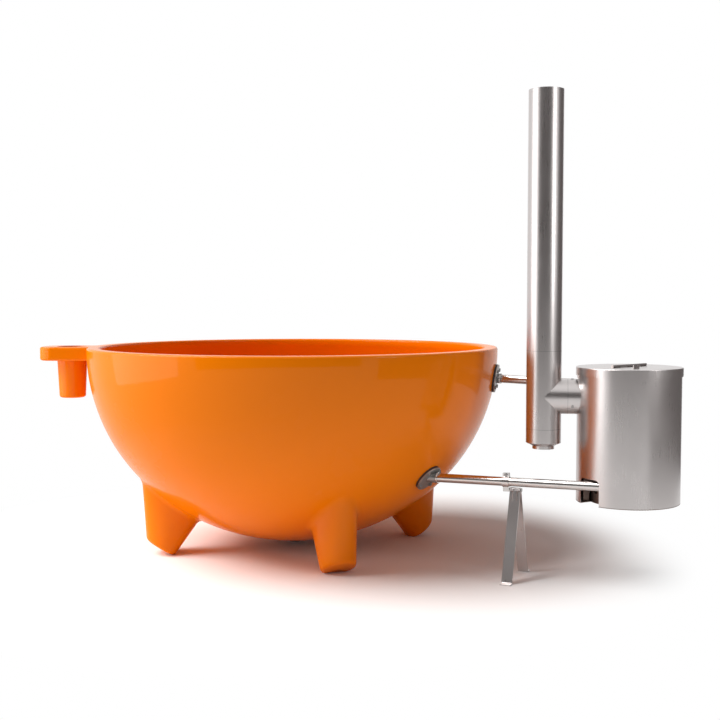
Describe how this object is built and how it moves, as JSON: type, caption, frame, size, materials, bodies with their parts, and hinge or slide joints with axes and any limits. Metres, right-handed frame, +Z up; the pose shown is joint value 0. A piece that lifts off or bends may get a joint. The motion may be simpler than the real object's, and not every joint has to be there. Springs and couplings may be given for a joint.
{
  "type": "wood-burning hot tub",
  "caption": "Round plastic bathing bowl on cone feet with a drinks shelf, heated by a steel coil stove with a chimney that is piped to its side.",
  "frame": {"origin": "middle of the footprint on the ground", "axes": "+X from the bowl towards the stove, +Z up"},
  "size_m": [2.5728, 1.6996, 1.8],
  "materials": {
    "orange_gelcoat": "high gloss gelcoat",
    "satin_stainless": "satin, fine grain",
    "pipe_stainless": "polished tube",
    "flange_plate": "dull, dark",
    "bolt_steel": "plain",
    "heat_tinted_steel": "heat tinted",
    "black_rubber": "matt",
    "grey_fitting_plastic": "moulded"
  },
  "bodies": {
    "tub": {"tub_bowl": "orange_gelcoat", "drinks_shelf": "orange_gelcoat", "shelf_bolts": "bolt_steel", "drain_gasket": "black_rubber", "drain_body": "grey_fitting_plastic", "drain_lock_nut": "grey_fitting_plastic", "heating_coil": "heat_tinted_steel", "lower_pipe": "pipe_stainless", "upper_pipe": "pipe_stainless", "stove_casing": "satin_stainless", "base_plate": "heat_tinted_steel", "fire_basket": "heat_tinted_steel", "fire_grate": "heat_tinted_steel", "coil_supports": "heat_tinted_steel", "collar_rivets": "bolt_steel", "flue_collar": "satin_stainless", "flue_tee": "satin_stainless", "tee_cap": "satin_stainless", "lid_fixed_half": "satin_stainless", "lid_hinge_pin": "bolt_steel", "stand_pivot_pin": "bolt_steel", "stand_clamp": "pipe_stainless", "stand_clamp_bolt": "bolt_steel", "foot_stove_front": "orange_gelcoat", "foot_stove_rear": "orange_gelcoat", "foot_shelf_rear": "orange_gelcoat", "foot_shelf_front": "orange_gelcoat", "lower_gasket": "black_rubber", "lower_flange": "flange_plate", "lower_flange_bolts": "bolt_steel", "lower_flange_nuts": "bolt_steel", "lower_backing_ring": "grey_fitting_plastic", "lower_clamping_ring": "pipe_stainless", "lower_inner_guard": "grey_fitting_plastic", "upper_gasket": "black_rubber", "upper_flange": "flange_plate", "upper_flange_bolts": "bolt_steel", "upper_flange_nuts": "bolt_steel", "upper_backing_ring": "grey_fitting_plastic", "upper_clamping_ring": "pipe_stainless", "upper_inner_guard": "grey_fitting_plastic"},
    "bucket": {"cooler_bucket": "orange_gelcoat"},
    "plug": {"drain_plug": "black_rubber"},
    "chimney": {"chimney_pipe": "satin_stainless"},
    "flap": {"lid_flap": "satin_stainless"},
    "front_leg": {"stand_front_leg": "satin_stainless"},
    "rear_leg": {"stand_rear_leg": "satin_stainless"}
  },
  "joints": [
    {"name": "bucket_lift", "type": "slide", "parent": "tub", "child": "bucket", "axis": [0, 0, 1], "range_m": [0, 0.26]},
    {"name": "plug_lift", "type": "slide", "parent": "tub", "child": "plug", "axis": [0, 0, 1], "range_m": [0, 0.1]},
    {"name": "chimney_lift", "type": "slide", "parent": "tub", "child": "chimney", "axis": [0, 0, 1], "range_m": [0, 0.1]},
    {"name": "flap_hinge", "type": "hinge", "parent": "tub", "child": "flap", "pos_m": [1.09488, 0, 0.7943], "axis": [-0.4226, -0.9063, 0], "range_deg": [0, 115]},
    {"name": "front_leg_fold", "type": "hinge", "parent": "tub", "child": "front_leg", "pos_m": [0.71472, -0.1515, 0.33106], "axis": [1, 0, 0], "range_deg": [0, 16.26]},
    {"name": "rear_leg_fold", "type": "hinge", "parent": "tub", "child": "rear_leg", "pos_m": [0.71472, -0.1515, 0.33106], "axis": [-1, 0, 0], "range_deg": [0, 16.26]}
  ]
}
